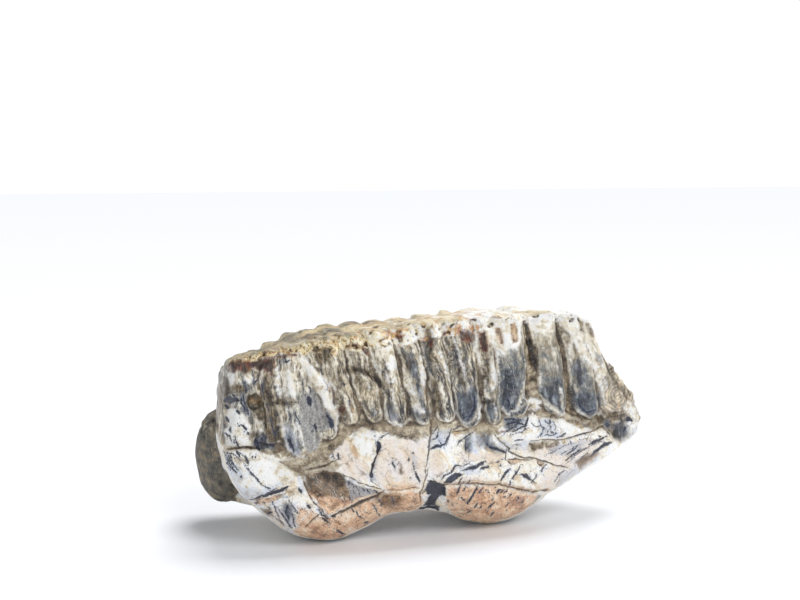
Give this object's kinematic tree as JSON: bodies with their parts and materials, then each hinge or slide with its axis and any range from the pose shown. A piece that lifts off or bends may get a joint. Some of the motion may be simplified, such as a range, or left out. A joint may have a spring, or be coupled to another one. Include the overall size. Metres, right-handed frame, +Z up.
{
  "type": "fossil stegodon tooth",
  "caption": "Polished fossil molar of an extinct elephant relative: slanted enamel plates over marbled roots, lying on its root swellings.",
  "frame": {"origin": "on the resting plane, under the middle of the tooth's bounding box", "axes": "+X along the tooth from the blunt front end to the tapered end, +Z up through the chewing face, and -Y out of the flank with the two root swellings"},
  "size_m": [0.1714, 0.0608, 0.081],
  "materials": {
    "fossil_enamel_and_root": "polished stone-hard fossil: cream and tan with blue-grey enamel plates, dark blue streaks and rust stains"
  },
  "bodies": {
    "root": {"tooth": "fossil_enamel_and_root"}
  },
  "joints": []
}
